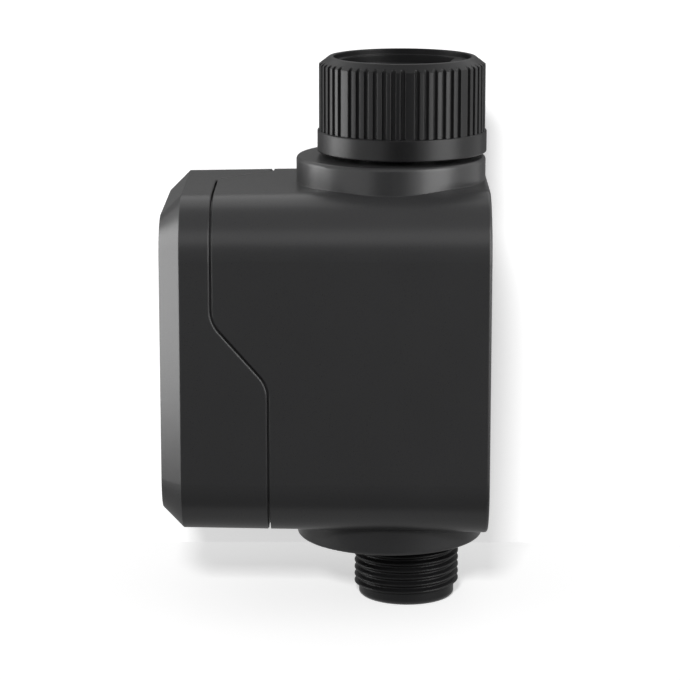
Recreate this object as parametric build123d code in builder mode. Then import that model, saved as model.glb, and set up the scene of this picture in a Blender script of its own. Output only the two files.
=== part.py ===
from build123d import *
import os
from math import acos, atan2, cos, degrees, hypot, pi, radians, sin, sqrt, tan

# A tap-mounted water timer. The front faces -Y, the tap is above, and the origin is at the
# centre of the swivel nut's mouth. Sizes are in millimetres.

# Case
CASE_HALF = 34.0
CASE_HEIGHT = 85.3
CASE_DEPTH = 79.75
CASE_REAR = 21.1
CASE_CORNER = 15.3
DRAFT = 0.9
BEZEL = 5.1
REAR_FILLET = 0.8
WALL = 2.4
COLLAR_R = 23.4
COLLAR_Y = -2.7
COLLAR_RISE = 5.7
COLLAR_DROP = 5.5
COLLAR_SINK = 6.0
COLLAR_FILLET = 0.9

# Seam between the rear housing and the front cover: it steps back below the middle of the
# near side, and again past the middle of the top
SEAM_SHALLOW = 12.95
SEAM_DEEP = 26.55
SEAM_STEP_DROP = 30.0
SEAM_STEP_RUN = 15.4
SEAM_TOP_X = -3.5
SEAM_TOP_RUN = 12.5
SEAM_BEND = 8.0
SEAM_TOP_BEND = 5.0
SEAM_GAP = 0.5
SEAM_CHAMFER = 0.3
EDGE_T = 1.2
LIP_GAP = 0.3
LIP_T = 1.2
LIP_REACH = 3.0
LIP_ROOT = 2.5
SEAL_LOW = 0.8
SEAL_HIGH = 2.0
SEAL_DEPTH = 0.5
SEAL_CLEAR = 0.1

# Tap nut, with a one inch pipe thread
NUT_HEIGHT = 23.3
NUT_GAP = 1.1
NUT_RIB_R = 20.5
NUT_RING_OUT = 0.4
NUT_RING_H = 5.3
NUT_CHAMFER_W = 2.4
NUT_CHAMFER_H = 1.85
NUT_MOUTH_GAP = 0.38
NUT_MOUTH_H = 1.4
TAP_MAJOR_R = 16.62
TAP_MINOR_R = 15.145
TAP_PITCH = 2.309
TAP_THREAD_H = 11.4
TAP_LAND_H = 1.6
NUT_RELIEF = 0.405
NUT_LIP_GAP = 0.5
NUT_LIP_H = 3.0
FLUTE_PITCH = 6.4
FLUTE_HALF_W = 0.55
FLUTE_DEPTH = 0.95
FLUTE_SETS = (7, 6)
FLUTE_REPEATS = 4
FLUTE_START = -43.8

# Outlet spout, with a three quarter inch pipe thread
OUTLET_Y = 1.6
SPOUT_LENGTH = 16.1
SPOUT_MAJOR_R = 13.2205
SPOUT_MINOR_R = 12.04
SPOUT_PITCH = 1.814
SPOUT_LAND = 2.0
SPOUT_TIP = 1.6
SPOUT_BORE_R = 8.2
CREST_SHY = 0.02
THREAD_SINK = 0.12
THREAD_START = 150.0
THREAD_FOOT = 0.47
THREAD_FORM = ((0.13, 0.37), (0.5, 0.25), (0.86, 0.13), (1.0, 0.04))

# Water path
VALVE_WALL = 4.8
VALVE_TOP_GAP = 1.2
TUBE_R = 12.5
SHANK_R = 13.6
BALL_DROP = 24.0
BALL_R = 10.5
BALL_BORE_R = 6.2
CHAMBER_GAP = 0.7
SEAT_H = 4.0
SEAT_LIP = 0.4
SEAT_SHY = 0.1
BALL_CLEAR = 0.1
FIT = 0.05
TAIL_SHOULDER = 1.1
TAIL_WALL = 3.2
TAIL_FLANGE_GAP = 0.75
TAIL_FLANGE_H = 2.6
WASHER_H = 2.8
WASHER_GAP = 0.65
FILTER_SEAT = 1.4
FILTER_GAP = 0.4
FILTER_WALL = 0.6
FILTER_DEPTH = 13.0
FILTER_RIM_H = 0.9
FILTER_SLOTS = 16

# Stem
STEM_R = 3.5
STEM_FLANGE_W = 1.5
STEM_FLANGE_H = 1.5
STEM_BOSS_W = 4.5
STEM_SQUARE = 4.6
TANG_T = 2.6
TANG_W = 7.0
TANG_H = 2.4
ORING_W = 1.5
ORING_GROOVE = 1.2

# Partition between the wet and the dry side
PARTITION_GAP = 4.0
PARTITION_T = 2.5
PARTITION_CLEAR = 0.3
GASKET_T = 1.0
GASKET_W = 2.0
LEDGE_T = 3.0
LEDGE_W = 2.5

# Gear train
MODULE = 0.8
PRESSURE_ANGLE = 25.0
BACKLASH = 0.14
ADDENDUM = 0.95
DEDENDUM = 1.25
OUTPUT_TEETH = 30
SMALL_TEETH = 10
IDLER_TEETH = 24
MOTOR_TEETH = 10
OUTPUT_W = 3.5
IDLER_W = 2.5
GEAR_GAP = 0.4
PLATE_T = 1.6
PILLAR_R = 2.4
BAR_R = 2.9
MOTOR_X = 20.0
MOTOR_RISE = 6.0
IDLER_PIN_R = 1.5

# Motor
MOTOR_R = 6.0
MOTOR_FLAT = 10.0
MOTOR_LENGTH = 13.5
MOTOR_CAP = 1.5
MOTOR_NOSE_R = 2.0
MOTOR_SHAFT_R = 0.75
CRADLE_T = 1.2
CRADLE_LENGTH = 9.0

# Batteries
CELL_R = 7.1
CELL_LENGTH = 49.0
CELL_NUB_R = 2.7
CELL_NUB = 1.3
CELL_GAP = 0.2
HOLDER_WEB = 1.4
HOLDER_WALL = 1.3
HOLDER_END_GAP = 1.8
HOLDER_RISE = 6.8
HOLDER_STANDOFF = 2.1
CONTACT_T = 0.4
CONTACT_W = 9.0

# Board, switch and button
BOARD_T = 1.6
BOARD_GAP = 4.25
BOARD_INSET = 3.3
BOARD_RIGHT = 11.0
BOARD_HEIGHT = 38.5
SWITCH_W = 6.0
SWITCH_H = 1.8
PLUNGER_R = 1.6
PLUNGER_OUT = 0.8
BUTTON_DROP = 23.5
BUTTON_R = 8.0
BUTTON_CLEAR = 0.3
BUTTON_PROUD = 0.6
BUTTON_FLANGE_W = 1.2
BUTTON_FLANGE_T = 0.9
BUTTON_POST_R = 1.8
PRESS_GAP = 0.1
LIGHT_RISE = 13.7
LIGHT_R = 1.45
RADIO_W = 14.0
RADIO_L = 19.0
RADIO_T = 0.8
SHIELD_W = 12.0
SHIELD_DROP = 2.6
SHIELD_H = 1.7
PACKAGE_CORNER = 0.6
MAIN_CHIP_W = 7.0
DRIVER_W = 5.0
DRIVER_L = 4.0
SMALL_CHIP_W = 1.2
SMALL_CHIP_L = 2.0
CHIP_H = 1.0
CAPACITOR_R = 3.1
CAPACITOR_H = 8.5
SOCKET_W = 6.2
SOCKET_L = 4.4
SOCKET_H = 2.8
SOCKET_RIM = 0.6
SOCKET_DEPTH = 2.0
LEAD_SHIFT = 0.9
LED_W = 3.0
LED_L = 1.6

# Screws
SCREW_HEAD_R = 2.6
SCREW_HEAD_H = 1.7
SCREW_R = 1.2
SCREW_HOLE_R = 1.5
BOSS_R = 3.0
SCREW_DEPTH = 9.0
CROSS_W = 0.7
CROSS_L = 2.8
CROSS_DEPTH = 0.9

# Small clearances, depths and roundings
HOLE_CLEAR = 0.3
CRADLE_SPREAD = 13.0
RIB_T = 2.0
RIM_CHAMFER = 0.4
PILLAR_FOOT = 4.0
VALVE_SCREW_DEPTH = 5.0
NUT_RING_FILLET = 0.3
NUT_RIM_FILLET = 0.3
TAIL_STEP = 3.0
TAIL_RING_R = 0.9
WASHER_FILLET = 0.4
FILTER_SLOT_W = 2.0
VALVE_MAIN_DROP = 22.0
SHANK_RISE = 3.0
SPOUT_CHAMFER = 0.5
STEM_FLANGE_GAP = 0.4
ORING_FIRST = 3.6
ORING_STEP = 3.2
JOURNAL_R = 1.8
OUTPUT_HOLE_AT = 7.6
OUTPUT_HOLE_R = 1.8
MOTOR_SHAFT_IN = 3.0
MOTOR_FILLET = 0.6
TERMINAL_L = 2.0
TERMINAL_W = 2.0
TERMINAL_T = 0.4
TERMINAL_OUT = 0.6
HOLDER_SHORT = 2.2
HOLDER_CORNER = 3.0
CONTACT_DOME_R = 2.6
PLUNGER_IN = 1.0
LED_H = 0.8
LED_GAP = 0.3
BUTTON_FILLET = 0.5
BUTTON_DISH_R = 60.0
BUTTON_DISH = 0.35
BUTTON_SEAL_W = 1.8
LIGHT_COLLAR = 0.7
WIRE_R = 0.5
TAB_W = 2.4
TAB_T = 0.5
TAB_OUT = 1.3

# Radii that follow from the ball, the tap thread, the stem and the button
chamber_r = BALL_R + CHAMBER_GAP
valve_r = chamber_r + VALVE_WALL
seat_bore_r = BALL_BORE_R + SEAT_LIP
seat_top = BALL_R - SEAT_SHY
tail_low_r = chamber_r - BALL_CLEAR
tail_r = tail_low_r + TAIL_SHOULDER
tail_bore_r = tail_r - TAIL_WALL
filter_r = tail_bore_r - FILTER_GAP
washer_bore_r = tail_bore_r + FILTER_SEAT
nut_lip_r = tail_r + NUT_LIP_GAP
nut_relief_r = TAP_MINOR_R + NUT_RELIEF
nut_mouth_r = TAP_MAJOR_R + NUT_MOUTH_GAP
nut_rim_r = NUT_RIB_R - NUT_CHAMFER_W
nut_ring_r = NUT_RIB_R + NUT_RING_OUT
tail_flange_r = nut_relief_r - TAIL_FLANGE_GAP
washer_r = nut_relief_r - WASHER_GAP
stem_bore_r = STEM_R + FIT
stem_flange_r = STEM_R + STEM_FLANGE_W
stem_boss_r = STEM_R + STEM_BOSS_W
oring_groove_r = STEM_R - ORING_GROOVE
button_flange_r = BUTTON_R + BUTTON_FLANGE_W

# Levels that follow from the sizes above
collar_top = -(NUT_HEIGHT + NUT_GAP)
case_top = collar_top - COLLAR_RISE
case_bottom = case_top - CASE_HEIGHT
case_mid = (case_top + case_bottom) / 2
collar_bottom = case_bottom - COLLAR_DROP
spout_rim = collar_bottom - SPOUT_LENGTH
case_front = CASE_REAR - CASE_DEPTH
inner_front = case_front + WALL
seam_shallow = case_front + SEAM_SHALLOW
seam_deep = case_front + SEAM_DEEP
ball_z = case_top - BALL_DROP
partition_back = -(valve_r + PARTITION_GAP)
partition_front = partition_back - PARTITION_T
gear_base_front = partition_front - PLATE_T
output_back = gear_base_front - GEAR_GAP
output_front = output_back - OUTPUT_W
idler_back = output_front - GEAR_GAP
idler_front = idler_back - IDLER_W
bridge_back = idler_front - GEAR_GAP
bridge_front = bridge_back - PLATE_T
board_front = inner_front + BOARD_GAP
board_back = board_front + BOARD_T
FAR = 200.0

# Gear centres, as (x, z): the motor is set, and the idler meshes with both of its neighbours
stem_at = (0.0, ball_z)
motor_at = (MOTOR_X, ball_z + MOTOR_RISE)
output_pitch_r = MODULE * OUTPUT_TEETH / 2
small_pitch_r = MODULE * SMALL_TEETH / 2
idler_pitch_r = MODULE * IDLER_TEETH / 2
motor_pitch_r = MODULE * MOTOR_TEETH / 2
reach_out = output_pitch_r + small_pitch_r
reach_in = idler_pitch_r + motor_pitch_r
span = hypot(MOTOR_X, MOTOR_RISE)
along = (reach_out**2 - reach_in**2 + span**2) / (2 * span)
aside = sqrt(reach_out**2 - along**2)
lean = atan2(MOTOR_RISE, MOTOR_X)
idler_at = (along * cos(lean) + aside * sin(lean), ball_z + along * sin(lean) - aside * cos(lean))


def front_plane(y):
    """The upright plane at depth y that faces the front: its x is X and its y is Z."""
    return Plane.XZ.offset(-y)


def rods(places, radius, start_y, end_y, mode=Mode.ADD):
    """Round rods along Y in the part being built, at places given as (x, z)."""
    with BuildSketch(front_plane(start_y)) as ends:
        with Locations(*places):
            Circle(radius)
    extrude(ends.sketch, amount=start_y - end_y, mode=mode)


def column(radius, low, high, y=0.0, mode=Mode.ADD):
    """A round column along Z in the part being built."""
    with BuildSketch(Plane.XY.offset(low)) as foot:
        with Locations((0, y)):
            Circle(radius)
    extrude(foot.sketch, amount=high - low, mode=mode)


def block(x_range, y_range, z_range, mode=Mode.ADD):
    """A straight block between two values on each axis, in the part being built."""
    with BuildSketch(Plane.XY.offset(min(z_range))) as foot:
        with Locations((sum(x_range) / 2, sum(y_range) / 2)):
            Rectangle(abs(x_range[1] - x_range[0]), abs(y_range[1] - y_range[0]))
    extrude(foot.sketch, amount=abs(z_range[1] - z_range[0]), mode=mode)


def screw_set(places, seat_y, length):
    """Pan head screws that point backwards from seat_y, in the part being built."""
    rods(places, SCREW_HEAD_R, seat_y, seat_y - SCREW_HEAD_H)
    rods(places, SCREW_R, seat_y + length, seat_y)
    with BuildSketch(front_plane(seat_y - SCREW_HEAD_H)) as recess:
        with Locations(*places):
            Rectangle(CROSS_W, CROSS_L)
            Rectangle(CROSS_L, CROSS_W)
    extrude(recess.sketch, amount=-CROSS_DEPTH, mode=Mode.SUBTRACT)


def case_form(inset):
    """The solid outer form of the case and its collars, moved inwards by inset all round."""
    bezel = BEZEL - inset * (2 - sqrt(2))
    with BuildPart() as form:
        with BuildSketch(front_plane(CASE_REAR - inset)):
            with Locations((0, case_mid)):
                RectangleRounded(
                    2 * (CASE_HALF - inset), CASE_HEIGHT - 2 * inset, CASE_CORNER - inset
                )
        extrude(amount=CASE_DEPTH - 2 * inset - bezel, taper=DRAFT)
        extrude(form.faces().sort_by(Axis.Y)[0], amount=bezel, taper=45)
        if inset < REAR_FILLET:
            fillet(form.faces().sort_by(Axis.Y)[-1].edges(), radius=REAR_FILLET)
        column(COLLAR_R - inset, case_top - COLLAR_SINK, collar_top - inset, COLLAR_Y)
        column(COLLAR_R - inset, collar_bottom + inset, case_bottom + COLLAR_SINK, COLLAR_Y)
        if inset < COLLAR_FILLET:
            rims = form.faces().filter_by(GeomType.PLANE).sort_by(Axis.Z)
            fillet(rims[0].edges() + rims[-1].edges(), radius=COLLAR_FILLET)
    return form.part


def hollow_form(outer_inset, inner_inset):
    """A closed skin of the case between two insets."""
    outside = case_form(outer_inset)
    inside = case_form(inner_inset)
    with BuildPart() as skin:
        add(outside)
        add(inside, mode=Mode.SUBTRACT)
    return skin.part


def behind_seam(lead):
    """All of the space behind the seam, with the seam moved forwards by lead."""
    step_top = case_top - SEAM_STEP_DROP
    with BuildPart() as zone:
        with BuildSketch(Plane.YZ.offset(-FAR)):
            with BuildLine():
                seam = FilletPolyline(
                    (seam_shallow, FAR),
                    (seam_shallow, step_top),
                    (seam_deep, step_top - SEAM_STEP_RUN),
                    (seam_deep, -2 * FAR),
                    radius=SEAM_BEND,
                )
                Polyline(seam @ 1, (FAR, -2 * FAR), (FAR, FAR), seam @ 0)
            make_face()
            offset(amount=lead)
        extrude(amount=2 * FAR)
        with BuildSketch(Plane.XY.offset(-2 * FAR)):
            with BuildLine():
                seam = FilletPolyline(
                    (FAR, seam_shallow),
                    (SEAM_TOP_X, seam_shallow),
                    (SEAM_TOP_X - SEAM_TOP_RUN, seam_deep),
                    (-FAR, seam_deep),
                    radius=SEAM_TOP_BEND,
                )
                Polyline(seam @ 1, (-FAR, FAR), (FAR, FAR), seam @ 0)
            make_face()
            offset(amount=lead)
        extrude(amount=3 * FAR, mode=Mode.INTERSECT)
    return zone.part


def slice_between(form, back_y, front_y):
    """The part of a form that lies between two depths."""
    with BuildPart() as piece:
        block((-FAR, FAR), (front_y, back_y), (-2 * FAR, FAR))
        add(form, mode=Mode.INTERSECT)
    return piece.part


def thread_ridge(root_r, crest_r, pitch, low, high, y=0.0):
    """A right-hand thread's rounded ridge on a root cylinder, from its lowest to its highest turn."""
    depth = crest_r - root_r
    foot = -THREAD_SINK if depth > 0 else THREAD_SINK
    with BuildPart() as ridge:
        with BuildLine() as path:
            Helix(pitch=pitch, height=high - low, radius=root_r, center=(0, 0, low))
        with BuildSketch(Plane(origin=path.line @ 0, x_dir=(1, 0, 0), z_dir=path.line % 0)):
            with BuildLine():
                Polyline(
                    (foot, -THREAD_FOOT * pitch),
                    *[(depth * rise, -half * pitch) for rise, half in THREAD_FORM],
                    *[(depth * rise, half * pitch) for rise, half in reversed(THREAD_FORM)],
                    (foot, THREAD_FOOT * pitch),
                    close=True,
                )
            make_face()
        sweep(path=path.line, is_frenet=True)
    return ridge.part.rotate(Axis.Z, THREAD_START).moved(Location((0, y, 0)))


def involute(angle):
    """The involute function of an angle in radians."""
    return tan(angle) - angle


def gear_outline(teeth, start_angle):
    """A spur gear's outline with a tooth's middle at start_angle, in degrees."""
    pitch_r = MODULE * teeth / 2
    base_r = pitch_r * cos(radians(PRESSURE_ANGLE))
    tip_r = pitch_r + ADDENDUM * MODULE
    root_r = pitch_r - DEDENDUM * MODULE
    low_r = max(base_r, root_r)
    at_pitch = pi / (2 * teeth) - BACKLASH / (4 * pitch_r) + involute(radians(PRESSURE_ANGLE))

    def flank(r, side, middle):
        turn = middle + side * (at_pitch - involute(acos(min(1.0, base_r / r))))
        return (r * cos(turn), r * sin(turn))

    radii = [low_r + (tip_r - low_r) * step / 3 for step in range(4)]
    with BuildSketch() as outline:
        with BuildLine():
            for tooth in range(teeth):
                middle = radians(start_angle) + 2 * pi * tooth / teeth
                spread = at_pitch - involute(acos(min(1.0, base_r / low_r)))
                roots = [
                    (root_r * cos(middle + side * spread), root_r * sin(middle + side * spread))
                    for side in (-1, 1)
                ]
                rising = Spline(*[flank(r, -1, middle) for r in radii])
                falling = Spline(*[flank(r, 1, middle) for r in reversed(radii)])
                tip = (tip_r * cos(middle), tip_r * sin(middle))
                ThreePointArc(rising @ 1, tip, falling @ 0)
                if base_r > root_r:
                    Line(roots[0], rising @ 0)
                    Line(falling @ 1, roots[1])
                following = middle + 2 * pi / teeth
                valley = middle + pi / teeth
                entry = (root_r * cos(following - spread), root_r * sin(following - spread))
                ThreePointArc(roots[1], (root_r * cos(valley), root_r * sin(valley)), entry)
        make_face()
    return outline.sketch


def gear(teeth, start_angle, centre, back_y, front_y):
    """A spur gear about an axis along Y, in the part being built."""
    outline = gear_outline(teeth, start_angle)
    with BuildSketch(front_plane(back_y)) as face:
        with Locations(centre):
            add(outline)
    extrude(face.sketch, amount=back_y - front_y)


def link(first, second, radius):
    """A flat bar with round ends between two points."""
    with BuildSketch() as bar:
        with Locations(first, second):
            Circle(radius)
        make_hull()
    return bar.sketch


outer_form = case_form(0)
inner_form = case_form(WALL)
lip_skin = hollow_form(EDGE_T + LIP_GAP, EDGE_T + LIP_GAP + LIP_T)
rear_zone = behind_seam(0)
root_zone = behind_seam(-LIP_ROOT)
lip_zone = behind_seam(LIP_REACH)

os.makedirs("parts", exist_ok=True)

# Fixings, as (x, z)
partition_screw_places = [
    (side * (CASE_HALF - 8.6), z)
    for side in (-1, 1)
    for z in (case_top - 13.4, case_bottom + 14.0)
]
valve_screw_places = [(-4.0, ball_z + 16.2), (0.0, ball_z - 16.2)]
pillar_places = [
    (-14.0, ball_z + 8.1),
    (-9.3, ball_z - 13.3),
    (idler_at[0] + 11.1, idler_at[1] - 7.7),
    (12.5, ball_z + 15.7),
]
board_screw_places = [(-19.5, case_top - 7.7), (-26.0, case_top - 35.9), (4.5, case_top - 7.9)]
holder_low = case_bottom + WALL + HOLDER_RISE
cell_low_z = holder_low + HOLDER_WALL + CELL_R
cell_high_z = cell_low_z + 2 * CELL_R + CELL_GAP
holder_high = cell_high_z + CELL_R + HOLDER_WALL
holder_back = partition_front - HOLDER_STANDOFF
holder_mid = holder_back - 2 * CELL_R - CELL_GAP - HOLDER_WEB / 2
row_step = HOLDER_WEB / 2 + CELL_R + CELL_GAP / 2
cell_rows = (holder_mid + row_step, holder_mid - row_step)
holder_screw_places = [
    (-12.0, holder_low - 2.9),
    (12.0, holder_low - 2.9),
    (-18.0, holder_high + 2.6),
]
button_z = case_top - BUTTON_DROP
light_z = button_z + LIGHT_RISE
tail_top = -(NUT_HEIGHT - NUT_LIP_H - TAIL_FLANGE_H - FIT)
tail_bottom = ball_z + seat_top
valve_top = collar_top - WALL - VALVE_TOP_GAP


with BuildPart() as lip_blank:
    add(lip_skin)
    add(lip_zone, mode=Mode.INTERSECT)
    add(root_zone, mode=Mode.SUBTRACT)
lip_skin_piece = lip_blank.part

with BuildPart() as edge_blank:
    add(case_form(EDGE_T))
    add(behind_seam(LIP_REACH + LIP_GAP), mode=Mode.INTERSECT)
thin_edge = edge_blank.part

# Case: the seal, the rear housing and the front cover
with BuildPart() as cover_seal:
    add(hollow_form(EDGE_T + SEAL_CLEAR, EDGE_T + LIP_GAP + SEAL_DEPTH))
    add(behind_seam(SEAL_HIGH), mode=Mode.INTERSECT)
    add(behind_seam(SEAL_LOW), mode=Mode.SUBTRACT)
cover_seal.part.label = "cover_seal"
export_step(cover_seal.part, "parts/cover_seal.step")

ledge_back = partition_back + GASKET_T + LEDGE_T
ledge_ring = slice_between(hollow_form(WALL, WALL + LEDGE_W), ledge_back, partition_back + GASKET_T)

with BuildPart() as rear_housing:
    add(outer_form)
    add(inner_form, mode=Mode.SUBTRACT)
    add(rear_zone, mode=Mode.INTERSECT)
    add(ledge_ring)
    rods(partition_screw_places, BOSS_R, CASE_REAR - WALL / 2, partition_back)
    rods(partition_screw_places, SCREW_R, partition_back + SCREW_DEPTH, partition_back, Mode.SUBTRACT)
    for z in (ball_z + CRADLE_SPREAD, ball_z - CRADLE_SPREAD):
        block((-valve_r * 0.75, valve_r * 0.75), (0, CASE_REAR - WALL / 2), (z - RIB_T / 2, z + RIB_T / 2))
    column(valve_r, ball_z - 2 * CRADLE_SPREAD, ball_z + 2 * CRADLE_SPREAD, mode=Mode.SUBTRACT)
    column(tail_r + HOLE_CLEAR, case_top - COLLAR_SINK, collar_top + 1, mode=Mode.SUBTRACT)
    column(SHANK_R + HOLE_CLEAR, collar_bottom - 1, case_bottom + COLLAR_SINK, OUTLET_Y, Mode.SUBTRACT)
    add(lip_skin_piece)
    add(cover_seal.part, mode=Mode.SUBTRACT)
rear_housing.part.label = "rear_housing"
export_step(rear_housing.part, "parts/rear_housing.step")

with BuildPart() as front_cover:
    add(outer_form)
    add(inner_form, mode=Mode.SUBTRACT)
    add(behind_seam(SEAM_GAP), mode=Mode.SUBTRACT)
    outer_edges = front_cover.edges(Select.NEW).filter_by(
        lambda e: inner_form.distance_to(e @ 0.5) > WALL - LIP_GAP
    )
    chamfer(outer_edges, length=SEAM_CHAMFER)
    add(thin_edge, mode=Mode.SUBTRACT)
    rods([(0, button_z)], BUTTON_R + BUTTON_CLEAR, inner_front + 1, case_front - 1, Mode.SUBTRACT)
    rods([(0, light_z)], LIGHT_R + FIT, inner_front + 1, case_front - 1, Mode.SUBTRACT)
    rim = front_cover.edges().filter_by(GeomType.CIRCLE).filter_by(
        lambda e: abs(e.radius - BUTTON_R - BUTTON_CLEAR) < 0.01
    )
    chamfer(rim.sort_by(Axis.Y)[0], length=RIM_CHAMFER)
front_cover.part.label = "front_cover"
export_step(front_cover.part, "parts/front_cover.step")

# Partition and its gasket
with BuildPart() as partition_gasket:
    gasket_skin = hollow_form(WALL + HOLE_CLEAR, WALL + HOLE_CLEAR + GASKET_W)
    add(slice_between(gasket_skin, partition_back + GASKET_T, partition_back))
    rods(partition_screw_places, BOSS_R + FIT, partition_back + GASKET_T, partition_back, Mode.SUBTRACT)
partition_gasket.part.label = "partition_gasket"
export_step(partition_gasket.part, "parts/partition_gasket.step")

with BuildPart() as partition:
    add(slice_between(case_form(WALL + PARTITION_CLEAR), partition_back, partition_front))
    rods(pillar_places, PILLAR_R, partition_back + PILLAR_FOOT, partition_back)
    rods(board_screw_places, BOSS_R, partition_front, board_back)
    rods(holder_screw_places, BOSS_R, partition_front, holder_back)
    rods([stem_at], stem_boss_r + HOLE_CLEAR, partition_back + 1, partition_front - 1, Mode.SUBTRACT)
    screw_holes = partition_screw_places + valve_screw_places
    rods(screw_holes, SCREW_HOLE_R, partition_back + 1, partition_front - 1, Mode.SUBTRACT)
    rods(pillar_places, SCREW_R + FIT, partition_back + PILLAR_FOOT - 1, partition_front, Mode.SUBTRACT)
    rods(board_screw_places, SCREW_R + FIT, board_back + SCREW_DEPTH, board_back, Mode.SUBTRACT)
    rods(holder_screw_places, SCREW_R + FIT, partition_back - 1, holder_back, Mode.SUBTRACT)
partition.part.label = "partition"
export_step(partition.part, "parts/partition.step")

with BuildPart() as partition_screws:
    screw_set(partition_screw_places, partition_front, PARTITION_T + SCREW_DEPTH - 1)
partition_screws.part.label = "partition_screws"
export_step(partition_screws.part, "parts/partition_screws.step")

with BuildPart() as valve_screws:
    screw_set(valve_screw_places, partition_front, PARTITION_T + VALVE_SCREW_DEPTH - 0.5)
valve_screws.part.label = "valve_screws"
export_step(valve_screws.part, "parts/valve_screws.step")

# Tap nut: the lip under its bore traps the tail's flange
nut_ring_top = -(NUT_HEIGHT - NUT_RING_H)
tap_thread_low = -(NUT_MOUTH_H + TAP_THREAD_H)
tap_land_low = tap_thread_low - TAP_LAND_H
nut_lip_top = -(NUT_HEIGHT - NUT_LIP_H)
flute_land = 360 / FLUTE_REPEATS - FLUTE_PITCH * (sum(FLUTE_SETS) - len(FLUTE_SETS))
flute_land = flute_land / len(FLUTE_SETS)
flute_angles = []
flute_angle = FLUTE_START + flute_land / 2
for flute_count in FLUTE_SETS * FLUTE_REPEATS:
    flute_angles += [flute_angle + FLUTE_PITCH * step for step in range(flute_count)]
    flute_angle += FLUTE_PITCH * (flute_count - 1) + flute_land
flute_r = NUT_RIB_R - FLUTE_DEPTH + FLUTE_HALF_W
tap_ridge = thread_ridge(
    TAP_MAJOR_R,
    TAP_MINOR_R + CREST_SHY,
    TAP_PITCH,
    tap_thread_low + TAP_PITCH / 2,
    -NUT_MOUTH_H - TAP_PITCH / 2,
)

with BuildPart() as swivel_nut:
    with BuildSketch(Plane.XZ):
        with BuildLine():
            Polyline(
                (nut_lip_r, -NUT_HEIGHT),
                (nut_ring_r, -NUT_HEIGHT),
                (nut_ring_r, nut_ring_top),
                (NUT_RIB_R, nut_ring_top),
                (NUT_RIB_R, -NUT_CHAMFER_H),
                (nut_rim_r, 0),
                (nut_mouth_r, 0),
                (nut_mouth_r, -NUT_MOUTH_H),
                (TAP_MAJOR_R, -NUT_MOUTH_H),
                (TAP_MAJOR_R, tap_thread_low),
                (TAP_MINOR_R, tap_thread_low),
                (TAP_MINOR_R, tap_land_low),
                (nut_relief_r, tap_land_low),
                (nut_relief_r, nut_lip_top),
                (nut_lip_r, nut_lip_top),
                close=True,
            )
        make_face()
    revolve(axis=Axis.Z)
    nut_circles = swivel_nut.edges().filter_by(GeomType.CIRCLE)
    fillet(nut_circles.filter_by(lambda e: abs(e.radius - nut_ring_r) < 0.01), radius=NUT_RING_FILLET)
    nut_circles = swivel_nut.edges().filter_by(GeomType.CIRCLE)
    fillet(nut_circles.filter_by(lambda e: abs(e.radius - nut_rim_r) < 0.01), radius=NUT_RIM_FILLET)
    with BuildSketch(Plane.XY.offset(nut_ring_top)):
        with Locations(
            *[
                Location((flute_r * cos(radians(a)), flute_r * sin(radians(a)), 0), (0, 0, a))
                for a in flute_angles
            ]
        ):
            with Locations((FLUTE_DEPTH, 0)):
                SlotCenterToCenter(2 * FLUTE_DEPTH, 2 * FLUTE_HALF_W)
    extrude(amount=-nut_ring_top, mode=Mode.SUBTRACT)
    add(tap_ridge)
swivel_nut.part.label = "swivel_nut"
export_step(swivel_nut.part, "parts/swivel_nut.step")

# Inlet tail, screwed into the valve body
socket_low = tail_bottom + TAIL_STEP
tail_ring_z = (valve_top + socket_low) / 2
with BuildPart() as inlet_tail:
    column(tail_flange_r, tail_top - TAIL_FLANGE_H, tail_top)
    column(tail_r, socket_low, tail_top)
    column(tail_low_r, tail_bottom, tail_top)
    column(tail_bore_r, tail_bottom, tail_top, mode=Mode.SUBTRACT)
    with BuildSketch(Plane.XY.offset(tail_ring_z - TAIL_RING_R)) as tail_groove:
        Circle(tail_r + 1)
        Circle(tail_r - 2 * TAIL_RING_R + FIT, mode=Mode.SUBTRACT)
    extrude(amount=2 * TAIL_RING_R, mode=Mode.SUBTRACT)
inlet_tail.part.label = "inlet_tail"
export_step(inlet_tail.part, "parts/inlet_tail.step")

with BuildPart() as tail_oring:
    with Locations((0, 0, tail_ring_z)):
        Torus(tail_r - TAIL_RING_R + FIT, TAIL_RING_R)
tail_oring.part.label = "tail_oring"
export_step(tail_oring.part, "parts/tail_oring.step")

with BuildPart() as inlet_washer:
    column(washer_r, tail_top, tail_top + WASHER_H)
    column(washer_bore_r, tail_top, tail_top + WASHER_H, mode=Mode.SUBTRACT)
    fillet(inlet_washer.edges().filter_by(GeomType.CIRCLE).group_by(Axis.Z)[-1], radius=WASHER_FILLET)
inlet_washer.part.label = "inlet_washer"
export_step(inlet_washer.part, "parts/inlet_washer.step")

filter_low = tail_top - FILTER_DEPTH
with BuildPart() as inlet_filter:
    column(washer_bore_r - HOLE_CLEAR, tail_top, tail_top + FILTER_RIM_H)
    column(filter_r, filter_low, tail_top)
    filter_top = tail_top + FILTER_RIM_H
    column(filter_r - FILTER_WALL, filter_low + FILTER_WALL, filter_top, mode=Mode.SUBTRACT)
    with BuildSketch(Plane.XY.offset(filter_low + 2 * FILTER_WALL)):
        with PolarLocations(filter_r, FILTER_SLOTS):
            Rectangle(4 * FILTER_WALL, FILTER_SLOT_W)
    extrude(amount=FILTER_DEPTH - 4 * FILTER_WALL, mode=Mode.SUBTRACT)
inlet_filter.part.label = "inlet_filter"
export_step(inlet_filter.part, "parts/inlet_filter.step")

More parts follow.
